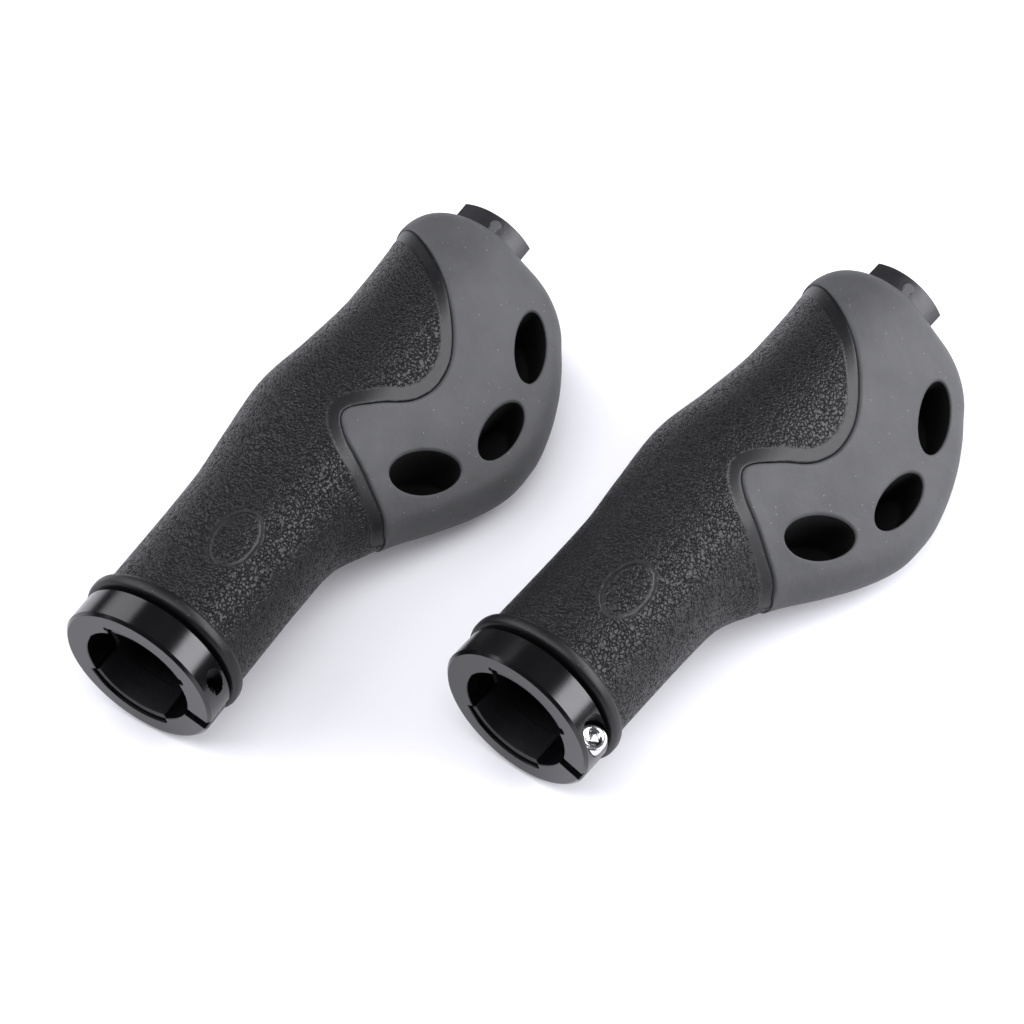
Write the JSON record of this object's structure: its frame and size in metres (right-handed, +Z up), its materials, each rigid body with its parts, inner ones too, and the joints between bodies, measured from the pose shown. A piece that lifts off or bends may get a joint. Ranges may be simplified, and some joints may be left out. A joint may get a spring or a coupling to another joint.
{
  "type": "handlebar grips",
  "caption": "Ergonomic lock-on handlebar grips with soft winged palm rests, rigid tabbed cores and split clamp rings with cross screws.",
  "frame": {"origin": "centre of the bounding box's footprint on the table, under the pair", "axes": "+X and +Y lie in the table, +X along the pair's longest extent and to the right of the two grips as they lie, +Y away from the clamp rings, +Z up"},
  "size_m": [0.1773, 0.1361, 0.0344],
  "materials": {
    "core_plastic": "black moulded, slightly glossy",
    "sleeve_rubber": "black, fine leather-like grain with smooth borders",
    "palm_rubber": "grey, smooth matt",
    "ring_anodised": "black anodised, satin face, polished rim",
    "screw_chrome": "bright plated"
  },
  "bodies": {
    "left_grip": {"left_core": "core_plastic", "left_sleeve": "sleeve_rubber", "left_palm_rest": "palm_rubber"},
    "left_ring_body": {"left_ring": "ring_anodised"},
    "left_screw_body": {"left_screw": "screw_chrome"},
    "right_grip": {"right_core": "core_plastic", "right_sleeve": "sleeve_rubber", "right_palm_rest": "palm_rubber"},
    "right_ring_body": {"right_ring": "ring_anodised"},
    "right_screw_body": {"right_screw": "screw_chrome"}
  },
  "joints": [
    {"name": "right_grip_lift", "type": "slide", "parent": "left_grip", "child": "right_grip", "axis": [0, 0, 1], "range_m": [0, 0.06]},
    {"name": "left_ring_slide", "type": "slide", "parent": "left_grip", "child": "left_ring_body", "axis": [-0.549, -0.8358, 0], "range_m": [0, 0.012]},
    {"name": "left_screw_turn", "type": "hinge", "parent": "left_ring_body", "child": "left_screw_body", "pos_m": [-0.0628, -0.0468, 0.01263], "axis": [-0.2927, 0.1923, -0.9367], "range_deg": [0, 720]},
    {"name": "right_ring_slide", "type": "slide", "parent": "right_grip", "child": "right_ring_body", "axis": [-0.6481, -0.7615, 0], "range_m": [0, 0.012]},
    {"name": "right_screw_turn", "type": "hinge", "parent": "right_ring_body", "child": "right_screw_body", "pos_m": [0.00688, -0.0626, 0.01263], "axis": [0.2667, -0.227, 0.9367], "range_deg": [0, 720]}
  ]
}
